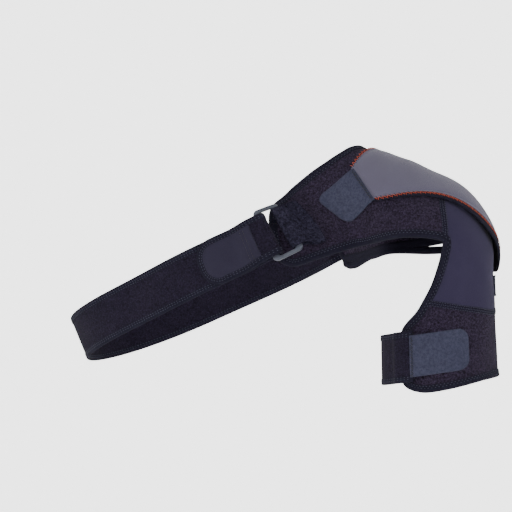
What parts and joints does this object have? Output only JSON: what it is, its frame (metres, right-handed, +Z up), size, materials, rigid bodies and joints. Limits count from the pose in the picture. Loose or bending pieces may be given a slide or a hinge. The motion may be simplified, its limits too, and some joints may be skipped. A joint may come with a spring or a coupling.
{
  "type": "shoulder brace",
  "caption": "Right shoulder support with a sleeve cuff, a padded flap over the shoulder, a chest strap through a ring and an arm strap, in its worn shape.",
  "frame": {"origin": "inner face of the shoulder cup at the top of the shoulder, where the cup rests on the wearer", "axes": "+X outwards along the shoulder, away from the chest; +Y to the front of the wearer; +Z up"},
  "size_m": [0.4522, 0.212, 0.235],
  "materials": {
    "loop_cloth": "soft brushed loop pile over sheet rubber",
    "smooth_cloth": "smooth knitted face over sheet rubber",
    "edge_tape": "woven binding tape",
    "flap_cloth": "grey ribbed cloth",
    "tab_cloth": "short stiff hook cloth",
    "strap_web": "brushed loop pile web",
    "pad_cloth": "smooth matte cloth",
    "ring_plastic": "smoke grey, half gloss"
  },
  "bodies": {
    "root": {"body_panel": "loop_cloth", "shoulder_panel": "smooth_cloth", "cuff_panel": "loop_cloth", "edge_binding": "edge_tape", "flap_base": "edge_tape", "flap_cover": "flap_cloth", "flap_tab_back": "tab_cloth", "flap_tab_front": "tab_cloth", "chest_strap": "strap_web", "strap_end_pad": "pad_cloth", "ring": "ring_plastic", "ring_pull": "strap_web", "arm_strap": "strap_web", "arm_tab": "tab_cloth", "side_patch": "tab_cloth"}
  },
  "joints": []
}
